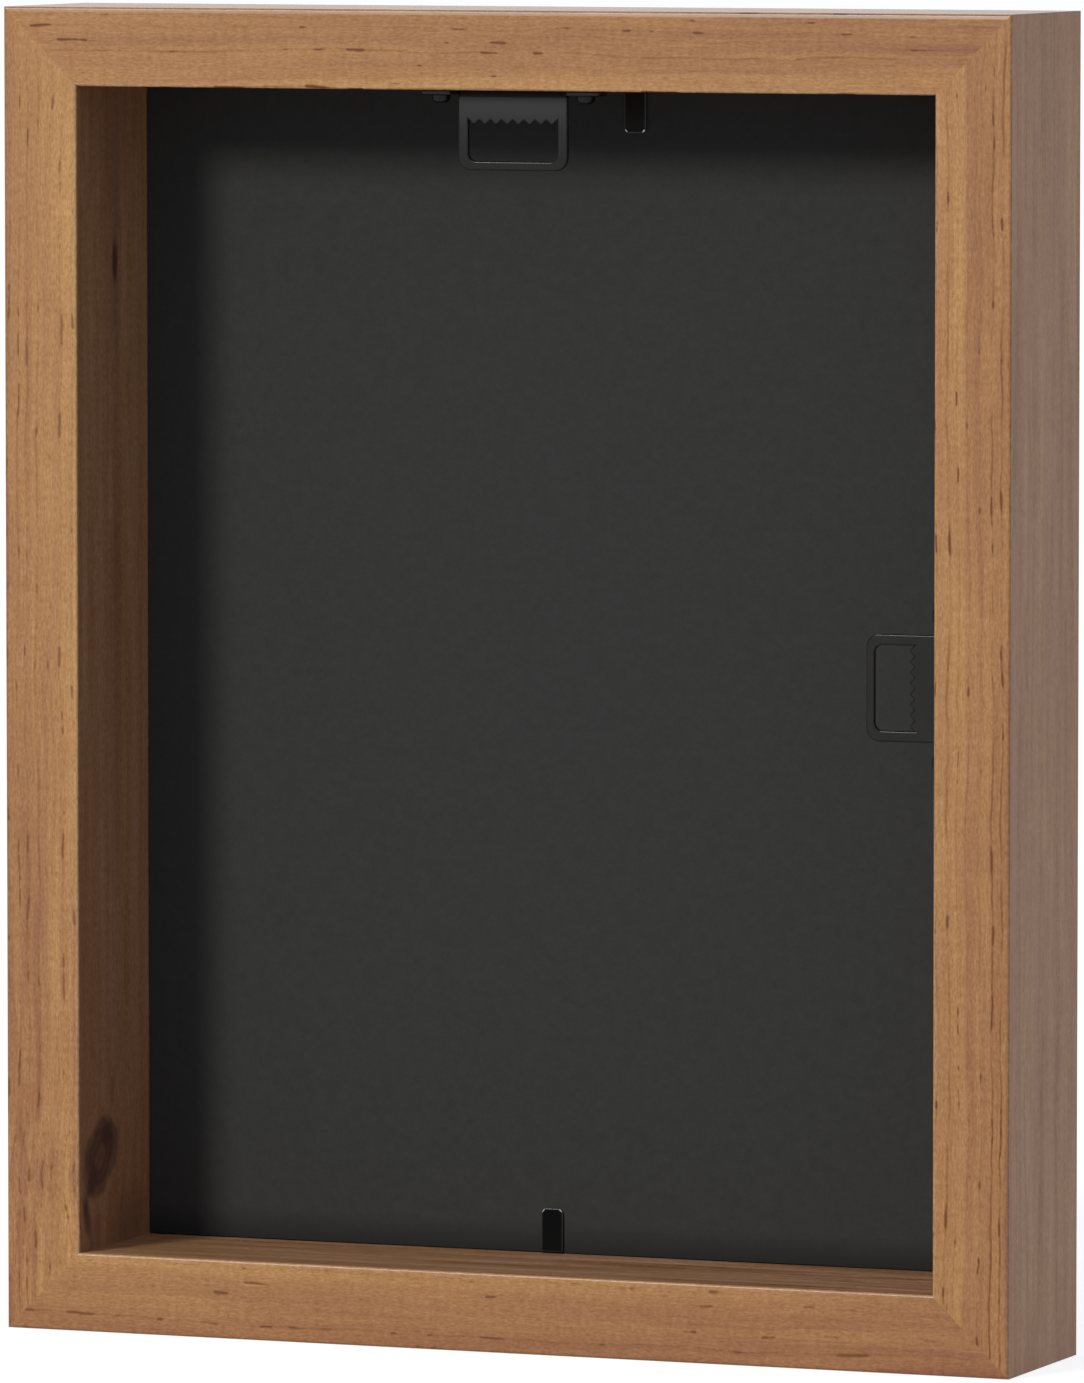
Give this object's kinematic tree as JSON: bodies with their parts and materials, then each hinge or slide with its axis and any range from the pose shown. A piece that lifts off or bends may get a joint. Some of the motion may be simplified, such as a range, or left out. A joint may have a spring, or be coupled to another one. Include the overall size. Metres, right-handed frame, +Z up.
{
  "type": "shadow box",
  "caption": "Deep mitred wooden shadow box with a clear front pane, a charcoal backing panel held by bendable tabs, an open rear recess and sawtooth hangers for portrait or landscape.",
  "frame": {"origin": "middle of the underside of the bottom rail, at the middle of the box's width and depth", "axes": "+Z up; the glazed front faces -Y and the open back, which the picture shows, faces +Y; +X to the right as seen from the front"},
  "size_m": [0.258, 0.049, 0.3207],
  "materials": {
    "stained_pine": "satin brown stain on straight-grained softwood",
    "bare_spline_wood": "bare",
    "clear_pane": "clear polished",
    "charcoal_board": "matte charcoal paint on hardboard",
    "black_steel": "semi-gloss black",
    "black_screw": "semi-gloss black",
    "black_tab": "satin black"
  },
  "bodies": {
    "box": {"top_rail": "stained_pine", "bottom_rail": "stained_pine", "left_rail": "stained_pine", "right_rail": "stained_pine", "top_left_spline": "bare_spline_wood", "top_right_spline": "bare_spline_wood", "bottom_left_spline": "bare_spline_wood", "bottom_right_spline": "bare_spline_wood", "glazing_pane": "clear_pane", "backing_panel": "charcoal_board", "top_hanger": "black_steel", "top_hanger_left_screw": "black_screw", "top_hanger_right_screw": "black_screw", "side_hanger": "black_steel", "side_hanger_upper_screw": "black_screw", "side_hanger_lower_screw": "black_screw", "top_tab_shank": "black_tab", "bottom_tab_shank": "black_tab"},
    "top_tab": {"top_tab": "black_tab"},
    "bottom_tab": {"bottom_tab": "black_tab"}
  },
  "joints": [
    {"name": "top_tab_bend", "type": "hinge", "parent": "box", "child": "top_tab", "pos_m": [-0.0183, -0.0173, 0.30125], "axis": [1, 0, 0], "range_deg": [0, 80]},
    {"name": "bottom_tab_bend", "type": "hinge", "parent": "box", "child": "bottom_tab", "pos_m": [0.0031, -0.0173, 0.01945], "axis": [-1, 0, 0], "range_deg": [0, 80]}
  ]
}
